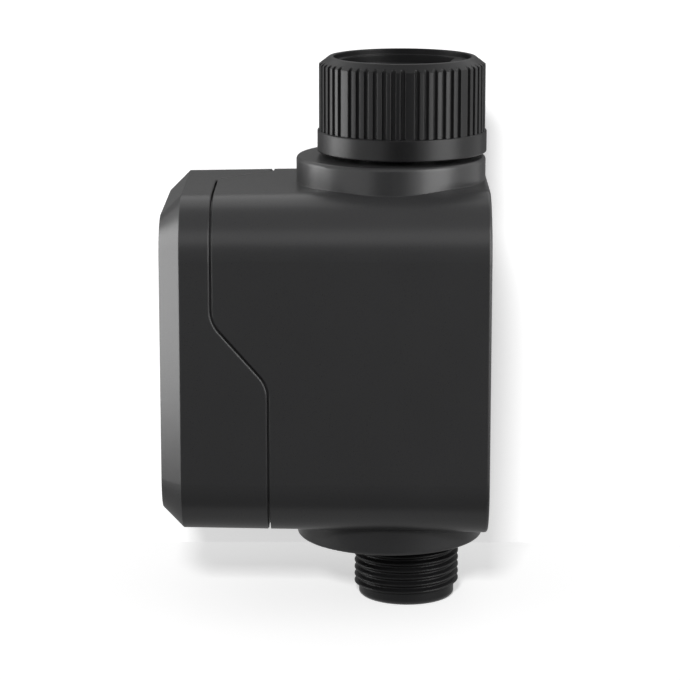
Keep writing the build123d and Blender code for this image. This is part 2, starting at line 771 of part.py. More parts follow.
# Valve body, with the outlet spout moulded on
chamber_low = ball_z - seat_top
main_low = ball_z - VALVE_MAIN_DROP
spout_ridge = thread_ridge(
    SPOUT_MINOR_R,
    SPOUT_MAJOR_R - CREST_SHY,
    SPOUT_PITCH,
    spout_rim + SPOUT_TIP + SPOUT_PITCH / 2,
    collar_bottom - SPOUT_LAND - SPOUT_PITCH * 0.22,
    OUTLET_Y,
)
stem_flange_back = -(BALL_R + STEM_FLANGE_GAP)
stem_flange_front = stem_flange_back - STEM_FLANGE_H
with BuildPart() as valve_body:
    column(valve_r, main_low, valve_top)
    column(TUBE_R, collar_bottom, main_low, OUTLET_Y)
    column(SHANK_R, collar_bottom, case_bottom + SHANK_RISE, OUTLET_Y)
    column(SPOUT_MAJOR_R, collar_bottom - SPOUT_LAND, collar_bottom, OUTLET_Y)
    column(SPOUT_MINOR_R, spout_rim, collar_bottom - SPOUT_LAND, OUTLET_Y)
    rods([stem_at], stem_boss_r, 0, gear_base_front)
    rods(valve_screw_places, BOSS_R, -valve_r / 2, partition_back)
    add(spout_ridge)
    column(tail_r + FIT, socket_low, valve_top, mode=Mode.SUBTRACT)
    column(chamber_r, chamber_low, socket_low, mode=Mode.SUBTRACT)
    column(SPOUT_BORE_R, spout_rim, chamber_low, OUTLET_Y, Mode.SUBTRACT)
    flange_stop = stem_flange_front - BALL_CLEAR
    rods([stem_at], stem_flange_r + HOLE_CLEAR, 0, flange_stop, Mode.SUBTRACT)
    rods([stem_at], stem_bore_r, 0, gear_base_front, Mode.SUBTRACT)
    valve_screw_end = partition_back + VALVE_SCREW_DEPTH
    rods(valve_screw_places, SCREW_R + FIT, valve_screw_end, partition_back, Mode.SUBTRACT)
    tip_edges = valve_body.edges().filter_by(GeomType.CIRCLE).group_by(Axis.Z)[0]
    chamfer(tip_edges, length=SPOUT_CHAMFER)
valve_body.part.label = "valve_body"
export_step(valve_body.part, "parts/valve_body.step")

# Ball, seats and stem: the ball is closed at rest, with its bore along X
with BuildPart() as valve_ball:
    with Locations((0, 0, ball_z)):
        Sphere(BALL_R)
    with BuildSketch(Plane.YZ.offset(-BALL_R - 1)):
        with Locations(stem_at):
            Circle(BALL_BORE_R)
    extrude(amount=2 * BALL_R + 2, mode=Mode.SUBTRACT)
    block(
        (-TANG_W / 2 - BALL_CLEAR, TANG_W / 2 + BALL_CLEAR),
        (-BALL_R - 1, -BALL_R + TANG_H + BALL_CLEAR),
        (ball_z - TANG_T / 2 - FIT, ball_z + TANG_T / 2 + FIT),
        Mode.SUBTRACT,
    )
valve_ball.part.label = "valve_ball"
export_step(valve_ball.part, "parts/valve_ball.step")

for seat_name, side in (("upper_seat", 1), ("lower_seat", -1)):
    seat_near = ball_z + side * (seat_top - SEAT_H)
    seat_far = ball_z + side * seat_top
    with BuildPart() as seat:
        column(chamber_r - BALL_CLEAR, seat_near, seat_far)
        column(seat_bore_r, seat_near, seat_far, mode=Mode.SUBTRACT)
        with Locations((0, 0, ball_z)):
            Sphere(BALL_R + BALL_CLEAR, mode=Mode.SUBTRACT)
        rods([stem_at], stem_flange_r + HOLE_CLEAR, 0, flange_stop, Mode.SUBTRACT)
    seat.part.label = seat_name
    export_step(seat.part, f"parts/{seat_name}.step")

oring_places = [stem_flange_front - ORING_FIRST - ORING_STEP * step for step in range(2)]
with BuildPart() as valve_stem:
    block(
        (-TANG_W / 2, TANG_W / 2),
        (-BALL_R + TANG_H, stem_flange_back - 0.5),
        (ball_z - TANG_T / 2, ball_z + TANG_T / 2),
    )
    rods([stem_at], stem_flange_r, stem_flange_back, stem_flange_front)
    rods([stem_at], STEM_R, stem_flange_front, gear_base_front)
    with BuildSketch(front_plane(gear_base_front)) as square:
        with Locations(stem_at):
            Rectangle(STEM_SQUARE, STEM_SQUARE)
    extrude(amount=gear_base_front - output_front)
    rods([stem_at], JOURNAL_R, output_front, bridge_front)
    for groove_y in oring_places:
        with BuildSketch(front_plane(groove_y)):
            with Locations(stem_at):
                Circle(STEM_R + 1)
                Circle(oring_groove_r, mode=Mode.SUBTRACT)
        extrude(amount=ORING_W, mode=Mode.SUBTRACT)
valve_stem.part.label = "valve_stem"
export_step(valve_stem.part, "parts/valve_stem.step")

oring_r = (STEM_R - oring_groove_r) / 2
with BuildPart() as stem_orings:
    with Locations(
        *[Location((0, groove_y - ORING_W / 2, ball_z), (90, 0, 0)) for groove_y in oring_places]
    ):
        Torus(oring_groove_r + oring_r, oring_r)
stem_orings.part.label = "stem_orings"
export_step(stem_orings.part, "parts/stem_orings.step")

# Gear train
bars = [
    (pillar_places[0], stem_at),
    (pillar_places[1], stem_at),
    (pillar_places[3], stem_at),
    (stem_at, idler_at),
    (idler_at, pillar_places[2]),
    (idler_at, motor_at),
    (motor_at, pillar_places[3]),
    (motor_at, pillar_places[2]),
]
with BuildPart() as gear_base:
    with BuildSketch(front_plane(partition_front)):
        for first, second in bars:
            add(link(first, second, BAR_R))
        with Locations(stem_at):
            Circle(stem_boss_r + HOLE_CLEAR + BAR_R)
            Circle(stem_boss_r + HOLE_CLEAR, mode=Mode.SUBTRACT)
    extrude(amount=PLATE_T)
    rods(pillar_places, PILLAR_R, partition_front, bridge_back)
    rods(pillar_places, SCREW_R + FIT, partition_front, bridge_back, Mode.SUBTRACT)
    rods([idler_at], IDLER_PIN_R + FIT / 2, partition_front, gear_base_front, Mode.SUBTRACT)
gear_base.part.label = "gear_base"
export_step(gear_base.part, "parts/gear_base.step")

with BuildPart() as gear_bridge:
    with BuildSketch(front_plane(bridge_back)):
        for first, second in bars:
            add(link(first, second, BAR_R))
        with Locations(motor_at):
            Circle(MOTOR_R + CRADLE_T)
    extrude(amount=PLATE_T)
    cradle_at = MOTOR_FLAT / 2 + FIT + CRADLE_T / 2
    with BuildSketch(front_plane(bridge_front)):
        with Locations(*[(motor_at[0], motor_at[1] + side * cradle_at) for side in (-1, 1)]):
            Rectangle(1.4 * MOTOR_R, CRADLE_T)
    extrude(amount=CRADLE_LENGTH)
    rods(pillar_places, SCREW_HOLE_R, bridge_back, bridge_front, Mode.SUBTRACT)
    rods([stem_at], JOURNAL_R + FIT, bridge_back, bridge_front, Mode.SUBTRACT)
    rods([idler_at], IDLER_PIN_R + FIT / 2, bridge_back, bridge_front, Mode.SUBTRACT)
    rods([motor_at], MOTOR_NOSE_R + FIT, bridge_back, bridge_front, Mode.SUBTRACT)
gear_bridge.part.label = "gear_bridge"
export_step(gear_bridge.part, "parts/gear_bridge.step")

with BuildPart() as gear_screws:
    screw_set(pillar_places, bridge_front, partition_back + PILLAR_FOOT - 1.5 - bridge_front)
gear_screws.part.label = "gear_screws"
export_step(gear_screws.part, "parts/gear_screws.step")

out_to_idler = degrees(atan2(idler_at[1] - stem_at[1], idler_at[0] - stem_at[0]))
idler_to_motor = degrees(atan2(motor_at[1] - idler_at[1], motor_at[0] - idler_at[0]))
with BuildPart() as output_gear:
    gear(OUTPUT_TEETH, out_to_idler, stem_at, output_back, output_front)
    with BuildSketch(front_plane(output_back)) as openings:
        with Locations(stem_at):
            Rectangle(STEM_SQUARE + 2 * FIT, STEM_SQUARE + 2 * FIT)
            with PolarLocations(OUTPUT_HOLE_AT, 5):
                Circle(OUTPUT_HOLE_R)
    extrude(amount=OUTPUT_W, mode=Mode.SUBTRACT)
output_gear.part.label = "output_gear"
export_step(output_gear.part, "parts/output_gear.step")

with BuildPart() as idler_gear:
    gear(SMALL_TEETH, out_to_idler + 180 + 180 / SMALL_TEETH, idler_at, output_back, idler_back)
    gear(IDLER_TEETH, idler_to_motor, idler_at, idler_back, idler_front)
    rods([idler_at], IDLER_PIN_R + FIT, output_back, idler_front, Mode.SUBTRACT)
idler_gear.part.label = "idler_gear"
export_step(idler_gear.part, "parts/idler_gear.step")

with BuildPart() as idler_pin:
    rods([idler_at], IDLER_PIN_R, partition_front, bridge_front)
idler_pin.part.label = "idler_pin"
export_step(idler_pin.part, "parts/idler_pin.step")

with BuildPart() as motor_pinion:
    gear(MOTOR_TEETH, idler_to_motor + 180 + 180 / MOTOR_TEETH, motor_at, idler_back, idler_front)
    rods([motor_at], MOTOR_SHAFT_R + FIT / 2, idler_back, idler_front, Mode.SUBTRACT)
motor_pinion.part.label = "motor_pinion"
export_step(motor_pinion.part, "parts/motor_pinion.step")

# Motor
motor_rear = bridge_front - MOTOR_LENGTH
with BuildPart() as motor_shaft:
    rods([motor_at], MOTOR_SHAFT_R, idler_back, bridge_front - MOTOR_SHAFT_IN)
motor_shaft.part.label = "motor_shaft"
export_step(motor_shaft.part, "parts/motor_shaft.step")

with BuildPart() as motor_can:
    with BuildSketch(front_plane(bridge_front)):
        with Locations(motor_at):
            Circle(MOTOR_R)
            Rectangle(3 * MOTOR_R, MOTOR_FLAT, mode=Mode.INTERSECT)
    extrude(amount=MOTOR_LENGTH)
    fillet(motor_can.faces().sort_by(Axis.Y)[0].edges(), radius=MOTOR_FILLET)
    rods([motor_at], MOTOR_NOSE_R, bridge_back, bridge_front)
    rods([motor_at], MOTOR_SHAFT_R + FIT, bridge_back, bridge_front - MOTOR_SHAFT_IN - 1, Mode.SUBTRACT)
motor_can.part.label = "motor_can"
export_step(motor_can.part, "parts/motor_can.step")

terminal_places = [(motor_at[0] + side * MOTOR_R * TERMINAL_OUT, motor_at[1]) for side in (-1, 1)]
with BuildPart() as motor_cap:
    with BuildSketch(front_plane(motor_rear)):
        with Locations(motor_at):
            Circle(MOTOR_R - 0.5)
            Rectangle(3 * MOTOR_R, MOTOR_FLAT - 1, mode=Mode.INTERSECT)
    extrude(amount=MOTOR_CAP)
motor_cap.part.label = "motor_cap"
export_step(motor_cap.part, "parts/motor_cap.step")

with BuildPart() as motor_terminals:
    with BuildSketch(front_plane(motor_rear - MOTOR_CAP)):
        with Locations(*terminal_places):
            Rectangle(TERMINAL_T, TERMINAL_W)
    extrude(amount=TERMINAL_L)
motor_terminals.part.label = "motor_terminals"
export_step(motor_terminals.part, "parts/motor_terminals.step")

# Cells in series: two rows of two, with both ends of the string at the left
cell_levels = (cell_low_z, cell_high_z)
cell_half = CELL_LENGTH / 2
holder_in = cell_half + HOLDER_END_GAP
holder_out = holder_in + HOLDER_WALL
holder_front = cell_rows[1] - CELL_R + HOLDER_SHORT
cells = [
    (row, level, (-1) ** (i + j + 1))
    for i, row in enumerate(cell_rows)
    for j, level in enumerate(cell_levels)
]
with BuildPart() as battery_cells:
    with BuildSketch(Plane.YZ.offset(-cell_half)):
        with Locations(*[(row, level) for row, level, _ in cells]):
            Circle(CELL_R)
    extrude(amount=CELL_LENGTH)
    for row, level, side in cells:
        with BuildSketch(Plane.YZ.offset(side * cell_half)):
            with Locations((row, level)):
                Circle(CELL_NUB_R)
        extrude(amount=side * CELL_NUB)
battery_cells.part.label = "battery_cells"
export_step(battery_cells.part, "parts/battery_cells.step")

plates = [
    (-1, cell_rows[:1], cell_levels[1:]),
    (-1, cell_rows[1:], cell_levels[1:]),
    (-1, cell_rows, cell_levels[:1]),
    (1, cell_rows[:1], cell_levels),
    (1, cell_rows[1:], cell_levels),
]
with BuildPart() as battery_contacts:
    for side, rows, levels in plates:
        block(
            (side * (holder_in - CONTACT_T), side * holder_in),
            (min(rows) - CONTACT_W / 2, max(rows) + CONTACT_W / 2),
            (min(levels) - CONTACT_W / 2, max(levels) + CONTACT_W / 2),
        )
    for row in cell_rows:
        block(
            (-holder_out - TAB_OUT, -holder_in),
            (row - TAB_T / 2, row + TAB_T / 2),
            (cell_high_z - TAB_W / 2, cell_high_z + TAB_W / 2),
        )
    for row, level, nub in cells:
        with BuildSketch(Plane.YZ.offset(-nub * (holder_in - CONTACT_T))):
            with Locations((row, level)):
                Circle(CONTACT_DOME_R)
        extrude(amount=nub * (HOLDER_END_GAP - CONTACT_T), taper=20)
battery_contacts.part.label = "battery_contacts"
export_step(battery_contacts.part, "parts/battery_contacts.step")

with BuildPart() as battery_holder:
    with BuildSketch(front_plane(holder_back)):
        with Locations((0, (holder_low + holder_high) / 2)):
            RectangleRounded(2 * holder_out, holder_high - holder_low, HOLDER_CORNER)
    extrude(amount=holder_back - holder_front)
    hollow_z = (holder_low + HOLDER_WALL, holder_high - HOLDER_WALL)
    web_y = (holder_mid - HOLDER_WEB / 2, holder_mid + HOLDER_WEB / 2)
    block((-holder_in, holder_in), (holder_back, holder_front), hollow_z, Mode.SUBTRACT)
    block((-holder_in - 0.5, holder_in + 0.5), web_y, (holder_low + 0.5, holder_high - 0.5))
    for x, z in holder_screw_places:
        edge = holder_low if z < holder_low else holder_high
        with BuildSketch(front_plane(holder_back)):
            add(link((x, z), (x, edge), BOSS_R))
            with Locations((x, (holder_low + holder_high) / 2)):
                Rectangle(3 * BOSS_R, holder_high - holder_low - 2 * HOLDER_WALL, mode=Mode.SUBTRACT)
        extrude(amount=PLATE_T)
    rods(holder_screw_places, SCREW_HOLE_R, holder_back, holder_back - PLATE_T, Mode.SUBTRACT)
    add(battery_contacts.part, mode=Mode.SUBTRACT)
battery_holder.part.label = "battery_holder"
export_step(battery_holder.part, "parts/battery_holder.step")

with BuildPart() as holder_screws:
    screw_set(holder_screw_places, holder_back - PLATE_T, PLATE_T + HOLDER_STANDOFF + 0.8)
holder_screws.part.label = "holder_screws"
export_step(holder_screws.part, "parts/holder_screws.step")

# Board and what is soldered on it
board_top = case_top - BOARD_INSET
with BuildPart() as control_board:
    add(slice_between(case_form(BOARD_INSET), board_back, board_front))
    board_z = (board_top - BOARD_HEIGHT, FAR)
    block((-FAR, BOARD_RIGHT), (board_back + 1, board_front - 1), board_z, Mode.INTERSECT)
    rods(board_screw_places, SCREW_HOLE_R, board_back, board_front, Mode.SUBTRACT)
control_board.part.label = "control_board"
export_step(control_board.part, "parts/control_board.step")

with BuildPart() as board_screws:
    screw_set(board_screw_places, board_front, BOARD_T + SCREW_DEPTH - 1)
board_screws.part.label = "board_screws"
export_step(board_screws.part, "parts/board_screws.step")

module_at = (-17.0, button_z + 1.8)
with BuildPart() as radio_module:
    with BuildSketch(front_plane(board_front)):
        with Locations(module_at):
            Rectangle(RADIO_W, RADIO_L)
    extrude(amount=RADIO_T)
radio_module.part.label = "radio_module"
export_step(radio_module.part, "parts/radio_module.step")

with BuildPart() as radio_shield:
    with BuildSketch(front_plane(board_front - RADIO_T)):
        with Locations((module_at[0], module_at[1] - SHIELD_DROP)):
            RectangleRounded(SHIELD_W, SHIELD_W, PACKAGE_CORNER)
    extrude(amount=SHIELD_H)
radio_shield.part.label = "radio_shield"
export_step(radio_shield.part, "parts/radio_shield.step")

small_chip_places = [
    (5.8, button_z - 6.0),
    (8.4, button_z - 6.0),
    (-12.5, button_z - 12.5),
    (-12.5, button_z - 15.0),
]
with BuildPart() as board_chips:
    with BuildSketch(front_plane(board_front)):
        with Locations((-4.5, button_z - 11.0)):
            Rectangle(MAIN_CHIP_W, MAIN_CHIP_W)
        with Locations((5.5, button_z - 12.5)):
            Rectangle(DRIVER_W, DRIVER_L)
        with Locations(*small_chip_places):
            Rectangle(SMALL_CHIP_W, SMALL_CHIP_L)
    extrude(amount=CHIP_H)
    rods([(-9.0, button_z - 12.0)], CAPACITOR_R, board_back + CAPACITOR_H, board_back)
board_chips.part.label = "board_chips"
export_step(board_chips.part, "parts/board_chips.step")

socket_places = [(7.0, button_z + 3.5), (-18.0, button_z - 14.6)]
with BuildPart() as lead_sockets:
    with BuildSketch(front_plane(board_front)):
        with Locations(*socket_places):
            Rectangle(SOCKET_W, SOCKET_L)
    extrude(amount=SOCKET_H)
    with BuildSketch(front_plane(board_front - SOCKET_H)):
        with Locations(*socket_places):
            Rectangle(SOCKET_W - 2 * SOCKET_RIM, SOCKET_L - 2 * SOCKET_RIM)
    extrude(amount=-SOCKET_DEPTH, mode=Mode.SUBTRACT)
lead_sockets.part.label = "lead_sockets"
export_step(lead_sockets.part, "parts/lead_sockets.step")

with BuildPart() as switch_body:
    with BuildSketch(front_plane(board_front)):
        with Locations((0, button_z)):
            RectangleRounded(SWITCH_W, SWITCH_W, PACKAGE_CORNER)
            Circle(PLUNGER_R + BALL_CLEAR, mode=Mode.SUBTRACT)
    extrude(amount=SWITCH_H)
switch_body.part.label = "switch_body"
export_step(switch_body.part, "parts/switch_body.step")

with BuildPart() as switch_plunger:
    switch_top = board_front - SWITCH_H
    rods([(0, button_z)], PLUNGER_R, switch_top + PLUNGER_IN, switch_top - PLUNGER_OUT)
switch_plunger.part.label = "switch_plunger"
export_step(switch_plunger.part, "parts/switch_plunger.step")

with BuildPart() as status_led:
    with BuildSketch(front_plane(board_front)):
        with Locations((0, light_z)):
            Rectangle(LED_W, LED_L)
    extrude(amount=LED_H)
status_led.part.label = "status_led"
export_step(status_led.part, "parts/status_led.step")

# Button and light guide, which stay in the cover
button_back = inner_front + FIT + BUTTON_FLANGE_T
plunger_tip = board_front - SWITCH_H - PLUNGER_OUT
with BuildPart() as button_cap:
    rods([(0, button_z)], button_flange_r, button_back, inner_front + FIT)
    rods([(0, button_z)], BUTTON_R, inner_front + FIT, case_front - BUTTON_PROUD)
    fillet(button_cap.faces().sort_by(Axis.Y)[0].edges(), radius=BUTTON_FILLET)
    rods([(0, button_z)], BUTTON_POST_R, plunger_tip - PRESS_GAP, button_back)
    with Locations((0, case_front - BUTTON_PROUD - BUTTON_DISH_R + BUTTON_DISH, button_z)):
        Sphere(BUTTON_DISH_R, mode=Mode.SUBTRACT)
button_cap.part.label = "button_cap"
export_step(button_cap.part, "parts/button_cap.step")

with BuildPart() as button_seal:
    seal_in = button_flange_r + BUTTON_CLEAR
    seal_back = inner_front + BUTTON_FLANGE_T
    rods([(0, button_z)], seal_in + BUTTON_SEAL_W, seal_back, inner_front)
    rods([(0, button_z)], seal_in, seal_back, inner_front, Mode.SUBTRACT)
button_seal.part.label = "button_seal"
export_step(button_seal.part, "parts/button_seal.step")

with BuildPart() as light_guide:
    rods([(0, light_z)], LIGHT_R, board_front - LED_H - LED_GAP, case_front)
    rods([(0, light_z)], LIGHT_R + LIGHT_COLLAR, inner_front + BUTTON_FLANGE_T, inner_front)
light_guide.part.label = "light_guide"
export_step(light_guide.part, "parts/light_guide.step")

# Leads: the motor's pair goes to one socket, and the cells' pair goes to the other. Each is one
# smooth curve that is drawn towards its points.


def wire(*points):
    """A round insulated wire that follows points from the first to the last."""
    with BuildLine() as run:
        Bezier(*points)
    with BuildSketch(Plane(origin=run.line @ 0, z_dir=run.line % 0)) as end:
        Circle(WIRE_R)
    sweep(end.sketch, path=run.line)


socket_y = board_front - SOCKET_H / 2
terminal_tip = motor_rear - MOTOR_CAP - TERMINAL_L
with BuildPart() as motor_leads:
    socket_x, socket_z = socket_places[0]
    side_x = socket_x + SOCKET_W / 2
    near, far = terminal_places
    wire(
        (side_x, socket_y, socket_z - LEAD_SHIFT),
        (side_x + 4.0, socket_y, socket_z - LEAD_SHIFT),
        (near[0], terminal_tip - 4.5, near[1]),
        (near[0], terminal_tip, near[1]),
    )
    wire(
        (side_x, socket_y, socket_z + LEAD_SHIFT),
        (side_x + 5.0, socket_y, socket_z + LEAD_SHIFT),
        (side_x + 9.0, socket_y - 2.0, socket_z + LEAD_SHIFT + 3.0),
        (far[0], terminal_tip - 7.0, far[1]),
        (far[0], terminal_tip, far[1]),
    )
motor_leads.part.label = "motor_leads"
export_step(motor_leads.part, "parts/motor_leads.step")

tab_x = -holder_out - TAB_OUT + WIRE_R + 0.1
tab_top = cell_high_z + TAB_W / 2
with BuildPart() as battery_leads:
    socket_x, socket_z = socket_places[1]
    side_z = socket_z - SOCKET_L / 2
    rear_row, front_row = cell_rows
    wire(
        (socket_x + LEAD_SHIFT, socket_y, side_z),
        (socket_x + LEAD_SHIFT, socket_y, side_z - 1.7),
        (socket_x + 0.2, socket_y + 1.9, side_z - 5.7),
        (-38.0, socket_y - 3.4, side_z - 4.9),
        (-25.0, rear_row + 1.2, side_z - 3.5),
        (tab_x - 0.4, rear_row - 15.6, side_z - 0.2),
        (tab_x, rear_row, tab_top + 4.6),
        (tab_x, rear_row, tab_top),
    )
    wire(
        (socket_x - LEAD_SHIFT, socket_y, side_z),
        (socket_x - LEAD_SHIFT, socket_y, side_z - 4.5),
        (socket_x - 2.8, socket_y - 5.7, side_z - 2.9),
        (-34.0, socket_y + 0.1, side_z - 4.5),
        (-25.6, front_row - 1.4, side_z - 2.6),
        (tab_x - 0.8, front_row - 5.5, side_z - 2.7),
        (tab_x, front_row, tab_top + 3.8),
        (tab_x, front_row, tab_top),
    )
battery_leads.part.label = "battery_leads"
export_step(battery_leads.part, "parts/battery_leads.step")
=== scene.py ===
import math

import bmesh
import bpy
from mathutils import Matrix, Vector

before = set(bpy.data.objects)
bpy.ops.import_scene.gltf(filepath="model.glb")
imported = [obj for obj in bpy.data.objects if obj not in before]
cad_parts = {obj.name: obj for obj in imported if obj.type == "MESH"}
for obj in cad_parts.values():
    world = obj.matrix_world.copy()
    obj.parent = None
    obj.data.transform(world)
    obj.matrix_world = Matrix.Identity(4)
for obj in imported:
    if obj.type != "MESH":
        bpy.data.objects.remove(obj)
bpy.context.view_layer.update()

# Camera: a long lens level with the upper part of the case, looking at its +X side and a little
# down. The place, turn and lens come from the fit to the photo.
eye = Vector((0.6878, -0.01119, 0.07599))
camera_turn, camera_dip = 0.006, 0.211
focal_pixels, picture_pixels = 2802.7, 680
gaze = Vector((
    -math.cos(camera_turn) * math.cos(camera_dip),
    -math.sin(camera_turn) * math.cos(camera_dip),
    -math.sin(camera_dip),
))
camera_data = bpy.data.cameras.new("camera")
camera_data.sensor_width = 36
camera_data.lens = focal_pixels / picture_pixels * camera_data.sensor_width
camera_data.clip_start = 0.01
camera = bpy.data.objects.new("camera", camera_data)
camera.matrix_world = Matrix.Translation(eye) @ gaze.to_track_quat("-Z", "Y").to_matrix().to_4x4()
bpy.context.scene.collection.objects.link(camera)
bpy.context.scene.camera = camera
bpy.context.scene.view_settings.view_transform = "Standard"


# Case: the rear housing with its two collars and the bevelled front cover. Both are injection
# moulded in dark grey plastic with a fine satin spark texture; the cover pulls off forwards.
def coat(names, finish):
    """Gives CAD nodes one finish."""
    for name in names:
        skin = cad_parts[name].data.materials
        skin.clear()
        skin.append(finish)


def blend(nodes, links, share, first, second):
    """Mixes two colours by share. Each is a colour, or the output of another node."""
    mix = nodes.new("ShaderNodeMix")
    mix.data_type = "RGBA"
    factor_socket, color_sockets, color_result = 0, (6, 7), 2
    links.new(share, mix.inputs[factor_socket])
    for socket, color in zip(color_sockets, (first, second)):
        if isinstance(color, tuple):
            mix.inputs[socket].default_value = (*color, 1)
        else:
            links.new(color, mix.inputs[socket])
    return mix.outputs[color_result]


def raise_relief(nodes, links, height, strength, depth, edge=0):
    """Raises a fine relief on a surface, and softens its edges by a small radius."""
    relief = nodes.new("ShaderNodeBump")
    relief.inputs["Strength"].default_value = strength
    relief.inputs["Distance"].default_value = depth
    if edge:
        edges = nodes.new("ShaderNodeBevel")
        edges.samples = 4
        edges.inputs["Radius"].default_value = edge
        links.new(edges.outputs["Normal"], relief.inputs["Normal"])
    links.new(height, relief.inputs["Height"])
    links.new(relief.outputs["Normal"], nodes["Principled BSDF"].inputs["Normal"])


def moulded_plastic(name, light, dark, gloss, grain, depth, edge=0.00025, cloud_scale=60):
    """Moulded plastic: two close tones in soft clouds, a spark-eroded grain and softened edges."""
    gloss_spread = 0.04
    finish = bpy.data.materials.new(name)
    finish.use_nodes = True
    nodes, links = finish.node_tree.nodes, finish.node_tree.links
    shader = nodes["Principled BSDF"]
    place = nodes.new("ShaderNodeTexCoord")
    clouds = nodes.new("ShaderNodeTexNoise")
    clouds.inputs["Scale"].default_value = cloud_scale
    clouds.inputs["Detail"].default_value = 4
    spark = nodes.new("ShaderNodeTexNoise")
    spark.inputs["Scale"].default_value = 1 / grain
    spark.inputs["Detail"].default_value = 2
    sheen = nodes.new("ShaderNodeMapRange")
    sheen.inputs["From Min"].default_value = 0.3
    sheen.inputs["From Max"].default_value = 0.7
    sheen.inputs["To Min"].default_value = gloss - gloss_spread
    sheen.inputs["To Max"].default_value = gloss + gloss_spread
    links.new(place.outputs["Object"], clouds.inputs["Vector"])
    links.new(place.outputs["Object"], spark.inputs["Vector"])
    tone = blend(nodes, links, clouds.outputs["Fac"], dark, light)
    links.new(tone, shader.inputs["Base Color"])
    links.new(spark.outputs["Fac"], sheen.inputs["Value"])
    links.new(sheen.outputs["Result"], shader.inputs["Roughness"])
    raise_relief(nodes, links, spark.outputs["Fac"], 0.5, depth, edge)
    return finish


case_plastic = moulded_plastic(
    "case_plastic", (0.021, 0.021, 0.0215), (0.018, 0.018, 0.0185), 0.31, 0.00016, 0.000012,
    edge=0.0004,
)
coat(["rear_housing", "front_cover"], case_plastic)

# Fittings: the swivel nut, the inlet tail and the valve body with its spout. They are moulded in
# black glass-filled nylon, which is smoother than the case and shines on its ribs and crests.
fitting_plastic = moulded_plastic(
    "fitting_plastic", (0.0075, 0.0075, 0.0078), (0.0055, 0.0055, 0.0058), 0.34, 0.0003, 0.00001,
    edge=0.0004,
)
fitting_shader = fitting_plastic.node_tree.nodes["Principled BSDF"]
fitting_shader.inputs["Specular IOR Level"].default_value = 0.3
coat(["swivel_nut", "inlet_tail", "valve_body"], fitting_plastic)

# Inner mouldings: the partition with its bosses, the gear frame and bridge, and the battery
# holder. They are plain dark plastic with a coarser grain, because nobody sees them in use.
inner_plastic = moulded_plastic(
    "inner_plastic", (0.035, 0.035, 0.037), (0.028, 0.028, 0.030), 0.5, 0.0004, 0.00002
)
coat(["partition", "gear_base", "gear_bridge", "battery_holder"], inner_plastic)

# Button: a soft-touch cap and, behind it, the switch's own plunger. The cap springs back on its
# silicone seal.
button_plastic = moulded_plastic(
    "button_plastic", (0.034, 0.034, 0.036), (0.029, 0.029, 0.031), 0.55, 0.00012, 0.00001
)
coat(["button_cap", "switch_plunger"], button_plastic)

# Gears, ball and seats: white acetal and low-friction plastic, slightly translucent, with a
# faint machined shimmer on the working faces.
acetal = moulded_plastic("acetal", (0.80, 0.79, 0.75), (0.74, 0.73, 0.69), 0.32, 0.0006, 0.000006)
coat(["output_gear", "idler_gear", "valve_ball"], acetal)
seat_plastic = moulded_plastic(
    "seat_plastic", (0.86, 0.86, 0.84), (0.80, 0.80, 0.78), 0.28, 0.0008, 0.000005
)
coat(["upper_seat", "lower_seat"], seat_plastic)

# Filter cup and lead sockets: natural nylon, a little yellow and semi-matt. The cup drops into the
# tail through the nut, and the sockets stand on the board.
filter_nylon = moulded_plastic(
    "filter_nylon", (0.60, 0.60, 0.54), (0.52, 0.52, 0.46), 0.4, 0.0004, 0.00001
)
coat(["inlet_filter"], filter_nylon)
socket_nylon = moulded_plastic(
    "socket_nylon", (0.78, 0.75, 0.64), (0.72, 0.69, 0.58), 0.35, 0.0004, 0.00001
)
coat(["lead_sockets"], socket_nylon)


# Rubber parts: gasket, washer, cover and button seals, and the rings on the stem and tail. They
# are moulded rubber and silicone with a dusty bloom.
def moulded_rubber(name, color, bloom, gloss):
    """Rubber with a dusty bloom in patches and a fine skin."""
    return moulded_plastic(name, bloom, color, gloss, 0.0005, 0.00003, cloud_scale=240)


black_rubber = moulded_rubber("black_rubber", (0.012, 0.012, 0.012), (0.024, 0.024, 0.024), 0.6)
coat(["partition_gasket", "tail_oring", "stem_orings"], black_rubber)
washer_rubber = moulded_rubber("washer_rubber", (0.022, 0.022, 0.022), (0.05, 0.05, 0.05), 0.65)
coat(["inlet_washer"], washer_rubber)
silicone = moulded_rubber("silicone", (0.22, 0.23, 0.24), (0.30, 0.31, 0.32), 0.5)
coat(["cover_seal", "button_seal"], silicone)


# Metal parts: screws and pins in zinc plated steel, the motor's drawn can, spring contacts, the
# radio's tinned shield, and turned brass for the stem, pinion and terminals.
def worked_metal(name, color, shade, gloss, scratch, stretch):
    """Bare metal with fine marks drawn out along one axis and small changes of tone."""
    finish = bpy.data.materials.new(name)
    finish.use_nodes = True
    nodes, links = finish.node_tree.nodes, finish.node_tree.links
    shader = nodes["Principled BSDF"]
    shader.inputs["Metallic"].default_value = 1
    place = nodes.new("ShaderNodeTexCoord")
    draw = nodes.new("ShaderNodeMapping")
    draw.inputs["Scale"].default_value = stretch
    marks = nodes.new("ShaderNodeTexNoise")
    marks.inputs["Scale"].default_value = 1 / scratch
    marks.inputs["Detail"].default_value = 5
    polish = nodes.new("ShaderNodeMapRange")
    polish.inputs["To Min"].default_value = gloss - 0.1
    polish.inputs["To Max"].default_value = gloss + 0.12
    links.new(place.outputs["Object"], draw.inputs["Vector"])
    links.new(draw.outputs["Vector"], marks.inputs["Vector"])
    tone = blend(nodes, links, marks.outputs["Fac"], shade, color)
    links.new(tone, shader.inputs["Base Color"])
    links.new(marks.outputs["Fac"], polish.inputs["Value"])
    links.new(polish.outputs["Result"], shader.inputs["Roughness"])
    raise_relief(nodes, links, marks.outputs["Fac"], 0.3, 0.00001, 0.0001)
    return finish


